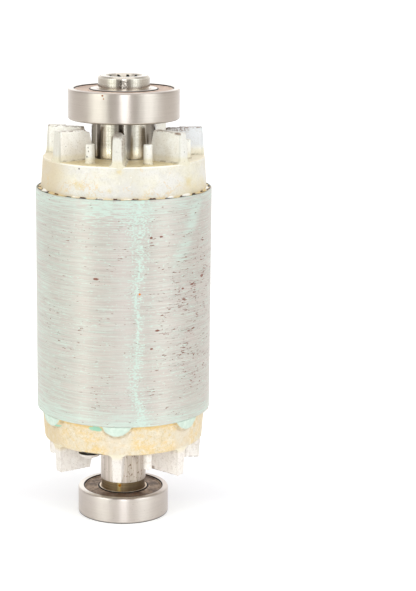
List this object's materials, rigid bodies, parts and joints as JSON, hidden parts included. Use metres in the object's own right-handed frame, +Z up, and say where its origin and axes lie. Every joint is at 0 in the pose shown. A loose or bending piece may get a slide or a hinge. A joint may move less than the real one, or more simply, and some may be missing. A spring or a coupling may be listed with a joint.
{
  "type": "squirrel-cage induction motor rotor with bearings",
  "caption": "Motor rotor standing on end: laminated steel core with a cast aluminium cage, fan blades and balance pins, on a splined steel shaft between sealed ball bearings.",
  "frame": {"origin": "on the shaft axis, at the lower bearing's bottom face, which the rotor stands on", "axes": "+Z up the shaft towards the splined drive end; -Y is the front that the picture shows"},
  "size_m": [0.0984, 0.0984, 0.252],
  "materials": {
    "shaft_steel": "turned and ground steel, a little rust",
    "core_steel": "turned laminations with remnants of mint-green lacquer",
    "bar_aluminium": "as cast, lacquer-stained",
    "upper_ring_aluminium": "as cast, lacquer-stained",
    "lower_ring_aluminium": "as cast, lacquer-stained, mint-green lugs",
    "blade_aluminium": "as cast, grainy",
    "washer_steel": "dull zinc-plated",
    "bearing_steel": "ground and polished",
    "upper_seal_rubber": "satin",
    "lower_seal_rubber": "satin, smudged"
  },
  "bodies": {
    "lower_bearing_outer": {"lower_bearing_outer_ring": "bearing_steel", "lower_bearing_top_seal": "lower_seal_rubber", "lower_bearing_bottom_seal": "lower_seal_rubber"},
    "rotor": {"shaft": "shaft_steel", "rotor_core": "core_steel", "cage_bars": "bar_aluminium", "upper_end_ring": "upper_ring_aluminium", "lower_end_ring": "lower_ring_aluminium", "upper_fan_blade_1": "blade_aluminium", "upper_fan_blade_2": "blade_aluminium", "upper_fan_blade_3": "blade_aluminium", "upper_fan_blade_4": "blade_aluminium", "upper_fan_blade_5": "blade_aluminium", "upper_fan_blade_6": "blade_aluminium", "upper_fan_blade_7": "blade_aluminium", "lower_fan_blade_1": "blade_aluminium", "lower_fan_blade_2": "blade_aluminium", "lower_fan_blade_3": "blade_aluminium", "lower_fan_blade_4": "blade_aluminium", "lower_fan_blade_5": "blade_aluminium", "lower_fan_blade_6": "blade_aluminium", "lower_fan_blade_7": "blade_aluminium", "upper_balance_pins": "blade_aluminium", "lower_balance_pins": "blade_aluminium", "balance_washer": "washer_steel", "upper_bearing_inner_ring": "bearing_steel", "lower_bearing_inner_ring": "bearing_steel"},
    "upper_bearing_outer": {"upper_bearing_outer_ring": "bearing_steel", "upper_bearing_top_seal": "upper_seal_rubber", "upper_bearing_bottom_seal": "upper_seal_rubber"}
  },
  "joints": [
    {"name": "rotor_spin", "type": "hinge", "parent": "lower_bearing_outer", "child": "rotor", "pos_m": [0, 0, 0.0075], "axis": [0, 0, 1], "continuous": true},
    {"name": "upper_bearing_spin", "type": "hinge", "parent": "rotor", "child": "upper_bearing_outer", "pos_m": [0, 0, 0.2365], "axis": [0, 0, 1], "continuous": true}
  ]
}
